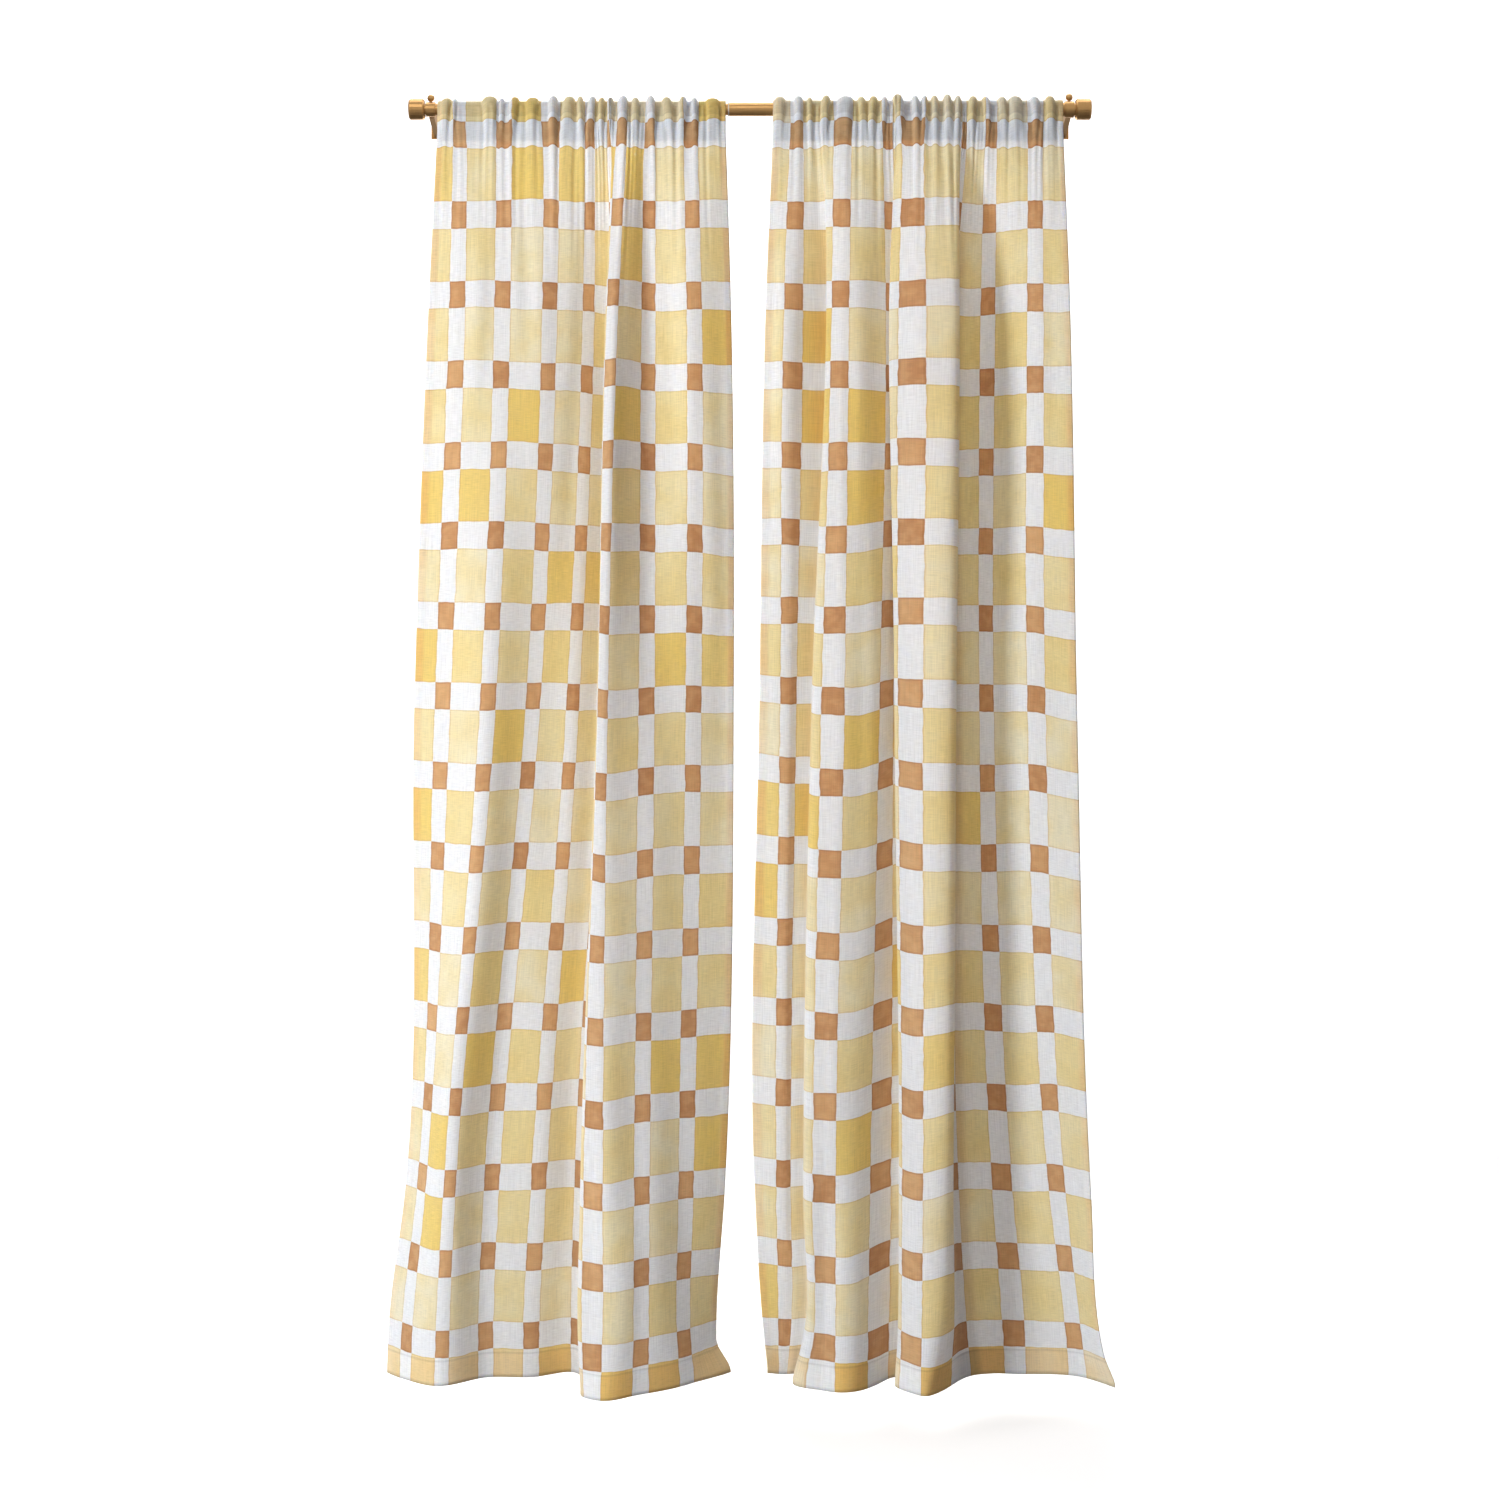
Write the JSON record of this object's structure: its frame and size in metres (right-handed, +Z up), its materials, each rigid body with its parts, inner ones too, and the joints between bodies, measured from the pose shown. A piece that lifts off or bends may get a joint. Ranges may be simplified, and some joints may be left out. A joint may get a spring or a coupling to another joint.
{
  "type": "sheer curtain pair on a telescoping rod",
  "caption": "Sheer rod-pocket curtain panels gathered on a telescoping metal rod with cylindrical end caps and wall brackets, folds falling to a flared hem.",
  "frame": {"origin": "middle of the back face of the left bracket's wall plate", "axes": "+X along the rod towards the right bracket as seen from the room, +Y into the wall, +Z up"},
  "size_m": [1.2007, 0.1441, 2.1434],
  "materials": {
    "sheer_cloth": "plain-woven semi-sheer cloth, printed in uneven ochre, brown and white squares",
    "brushed_brass": "satin brushed, warm",
    "pale_collar": "matt"
  },
  "bodies": {
    "root": {"left_panel": "sheer_cloth", "right_panel": "sheer_cloth", "inner_tube": "brushed_brass", "outer_tube": "brushed_brass", "tube_collar": "pale_collar", "left_finial": "brushed_brass", "right_finial": "brushed_brass", "left_bracket": "brushed_brass", "right_bracket": "brushed_brass", "left_thumb_screw": "brushed_brass", "right_thumb_screw": "brushed_brass"}
  },
  "joints": []
}
